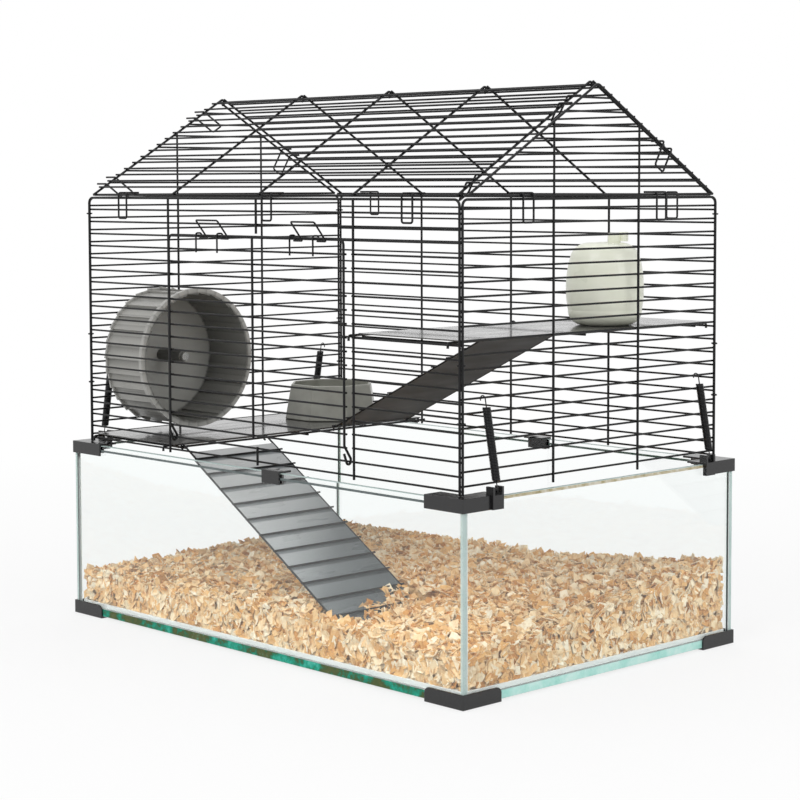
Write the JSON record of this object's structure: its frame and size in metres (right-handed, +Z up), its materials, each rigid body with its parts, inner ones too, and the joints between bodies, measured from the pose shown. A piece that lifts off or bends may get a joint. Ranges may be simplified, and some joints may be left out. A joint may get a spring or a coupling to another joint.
{
  "type": "glass hamster cage",
  "caption": "Glass tank filled with bedding under a gabled wire house with a drop-down door, a lifting roof, ramps, a shelf, a running wheel, a bowl and a hideout.",
  "frame": {"origin": "on the ground under the middle of the tank", "axes": "+X to the right along the long front, -Y towards the front door, +Z up"},
  "size_m": [0.6068, 0.4022, 0.5667],
  "materials": {
    "clear_glass": "clear",
    "silicone": "satin",
    "black_plastic": "matte",
    "black_wire": "satin",
    "spring_steel": "satin",
    "shavings": "matte",
    "grey_board": "satin",
    "wheel_plastic": "gloss",
    "fitting_plastic": "satin",
    "bright_steel": "satin",
    "bowl_glaze": "satin",
    "pot_glaze": "satin"
  },
  "bodies": {
    "tank": {"back_glass": "clear_glass", "back_left_foot_guard": "black_plastic", "back_left_rim_guard": "black_plastic", "back_right_foot_guard": "black_plastic", "back_right_rim_guard": "black_plastic", "back_rim_clip": "black_plastic", "base_glass": "clear_glass", "bedding": "shavings", "front_glass": "clear_glass", "front_left_foot_guard": "black_plastic", "front_left_rim_guard": "black_plastic", "front_right_foot_guard": "black_plastic", "front_right_rim_guard": "black_plastic", "front_rim_clip": "black_plastic", "left_glass": "clear_glass", "right_glass": "clear_glass", "silicone_seams": "silicone", "spring_catches": "black_plastic"},
    "wire_house": {"back_left_spring": "spring_steel", "back_right_spring": "spring_steel", "back_roof": "black_wire", "back_wall": "black_wire", "corner_ties": "black_wire", "front_left_spring": "spring_steel", "front_right_spring": "spring_steel", "front_wall": "black_wire", "left_gable": "black_wire", "left_wall": "black_wire", "panel_clips": "black_wire", "platform_board": "grey_board", "platform_wires": "black_wire", "right_gable": "black_wire", "right_wall": "black_wire", "shelf_board": "grey_board", "shelf_wires": "black_wire", "wheel_axle": "bright_steel", "wheel_mount": "fitting_plastic", "wheel_nut": "fitting_plastic", "wheel_screw": "bright_steel"},
    "roof_flap": {"front_roof": "black_wire", "roof_clips": "black_wire"},
    "front_door": {"door": "black_wire"},
    "left_door_latch": {"left_latch": "black_wire"},
    "right_door_latch": {"right_latch": "black_wire"},
    "running_wheel": {"wheel_drum": "wheel_plastic", "wheel_hub": "wheel_plastic"},
    "lower_ramp": {"lower_ramp_board": "grey_board", "lower_ramp_wires": "black_wire"},
    "upper_ramp": {"upper_ramp_board": "grey_board", "upper_ramp_wires": "black_wire"},
    "bowl": {"food_bowl": "bowl_glaze"},
    "hideout": {"hideout_pot": "pot_glaze"}
  },
  "joints": [
    {"name": "house_lift", "type": "slide", "parent": "tank", "child": "wire_house", "axis": [0, 0, 1], "range_m": [0, 0.045], "stiffness_N_per_m": 600, "springref_m": -0.02, "deforming": ["front_left_spring", "front_right_spring", "back_left_spring", "back_right_spring"]},
    {"name": "roof_opening", "type": "hinge", "parent": "wire_house", "child": "roof_flap", "pos_m": [0, 0, 0.5624], "axis": [-1, 0, 0], "range_deg": [0, 180]},
    {"name": "door_drop", "type": "hinge", "parent": "wire_house", "child": "front_door", "pos_m": [0, -0.1815, 0.2068], "axis": [1, 0, 0], "range_deg": [0, 120]},
    {"name": "left_latch_lift", "type": "hinge", "parent": "front_door", "child": "left_door_latch", "pos_m": [-0.06175, -0.18685, 0.4175], "axis": [-1, 0, 0], "range_deg": [0, 50]},
    {"name": "right_latch_lift", "type": "hinge", "parent": "front_door", "child": "right_door_latch", "pos_m": [0.08425, -0.18685, 0.4175], "axis": [-1, 0, 0], "range_deg": [0, 50]},
    {"name": "wheel_spin", "type": "hinge", "parent": "wire_house", "child": "running_wheel", "pos_m": [-0.2585, -0.095, 0.2802], "axis": [1, 0, 0], "continuous": true},
    {"name": "lower_ramp_swing", "type": "hinge", "parent": "wire_house", "child": "lower_ramp", "pos_m": [-0.134, -0.1175, 0.196], "axis": [0, -1, 0], "range_deg": [0, 40]},
    {"name": "upper_ramp_swing", "type": "hinge", "parent": "wire_house", "child": "upper_ramp", "pos_m": [0.1382, 0.096, 0.327], "axis": [0, 1, 0], "range_deg": [0, 50]},
    {"name": "bowl_lift", "type": "slide", "parent": "wire_house", "child": "bowl", "axis": [0, 0, 1], "range_m": [0, 0.04]},
    {"name": "hideout_lift", "type": "slide", "parent": "wire_house", "child": "hideout", "axis": [0, 0, 1], "range_m": [0, 0.04]}
  ]
}
